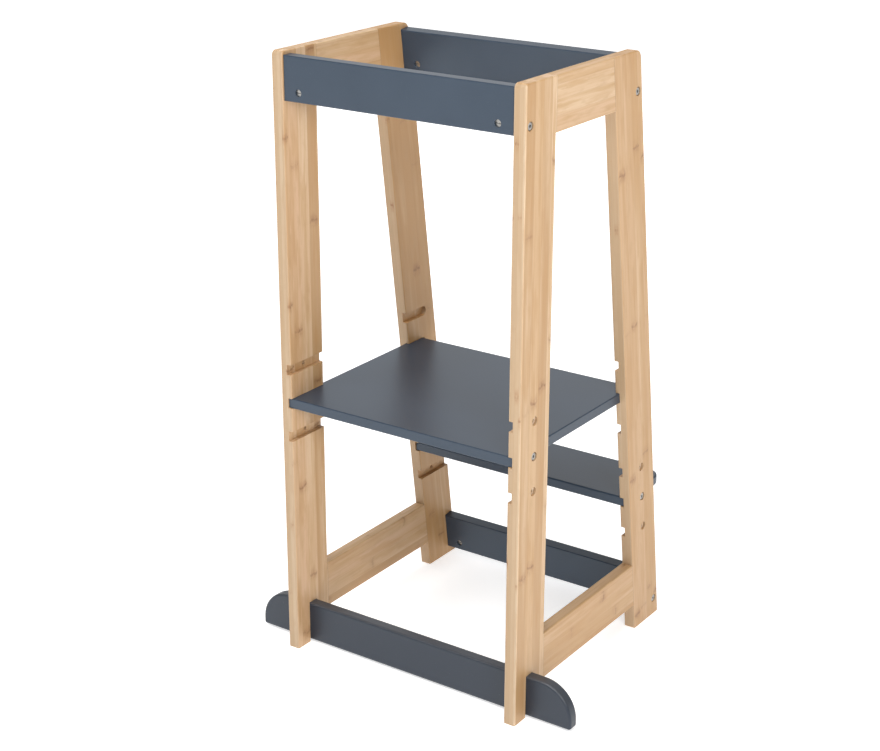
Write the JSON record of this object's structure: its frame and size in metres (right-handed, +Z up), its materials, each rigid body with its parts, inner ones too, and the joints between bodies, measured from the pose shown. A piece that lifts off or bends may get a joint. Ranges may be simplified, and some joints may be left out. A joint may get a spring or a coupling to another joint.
{
  "type": "toddler kitchen helper stool",
  "caption": "Toddler kitchen helper stool: bamboo side frames joined by painted boards, with a platform and a rear step held by lock bolts in height-setting grooves.",
  "frame": {"origin": "on the floor, under the middle of the whole stool's box", "axes": "+X to the right seen from the front, +Y from the front (the worktop side) to the rear where the child climbs in, +Z up"},
  "size_m": [0.548, 0.436, 0.9],
  "materials": {
    "bamboo": "satin lacquered laminated bamboo",
    "grey_paint": "satin anthracite paint on board",
    "steel": "bright zinc plated",
    "insert_metal": "plain",
    "beech": "fluted dowel, raw"
  },
  "bodies": {
    "stool": {"left_front_leg": "bamboo", "left_rear_leg": "bamboo", "left_top_side_rail": "bamboo", "left_bottom_side_rail": "bamboo", "right_front_leg": "bamboo", "right_rear_leg": "bamboo", "right_top_side_rail": "bamboo", "right_bottom_side_rail": "bamboo", "front_top_rail": "grey_paint", "rear_top_rail": "grey_paint", "rear_bottom_rail": "grey_paint", "foot_board": "grey_paint", "platform": "grey_paint", "step": "grey_paint", "front_top_bolts": "steel", "rear_top_bolts": "steel", "rear_bottom_bolts": "steel", "front_top_barrel_nuts": "steel", "rear_top_barrel_nuts": "steel", "rear_bottom_barrel_nuts": "steel", "foot_board_screws": "steel", "platform_inserts": "insert_metal", "step_inserts": "insert_metal", "left_frame_dowels": "beech", "right_frame_dowels": "beech", "rail_dowels": "beech"},
    "left_platform_lock_bolt_body": {"left_platform_lock_bolt": "steel"},
    "left_step_lock_bolt_body": {"left_step_lock_bolt": "steel"},
    "right_platform_lock_bolt_body": {"right_platform_lock_bolt": "steel"},
    "right_step_lock_bolt_body": {"right_step_lock_bolt": "steel"}
  },
  "joints": [
    {"name": "left_platform_lock_bolt_slide", "type": "slide", "parent": "stool", "child": "left_platform_lock_bolt_body", "axis": [-1, 0, 0], "range_m": [0, 0.0125]},
    {"name": "left_step_lock_bolt_slide", "type": "slide", "parent": "stool", "child": "left_step_lock_bolt_body", "axis": [-1, 0, 0], "range_m": [0, 0.0125]},
    {"name": "right_platform_lock_bolt_slide", "type": "slide", "parent": "stool", "child": "right_platform_lock_bolt_body", "axis": [1, 0, 0], "range_m": [0, 0.0125]},
    {"name": "right_step_lock_bolt_slide", "type": "slide", "parent": "stool", "child": "right_step_lock_bolt_body", "axis": [1, 0, 0], "range_m": [0, 0.0125]}
  ]
}
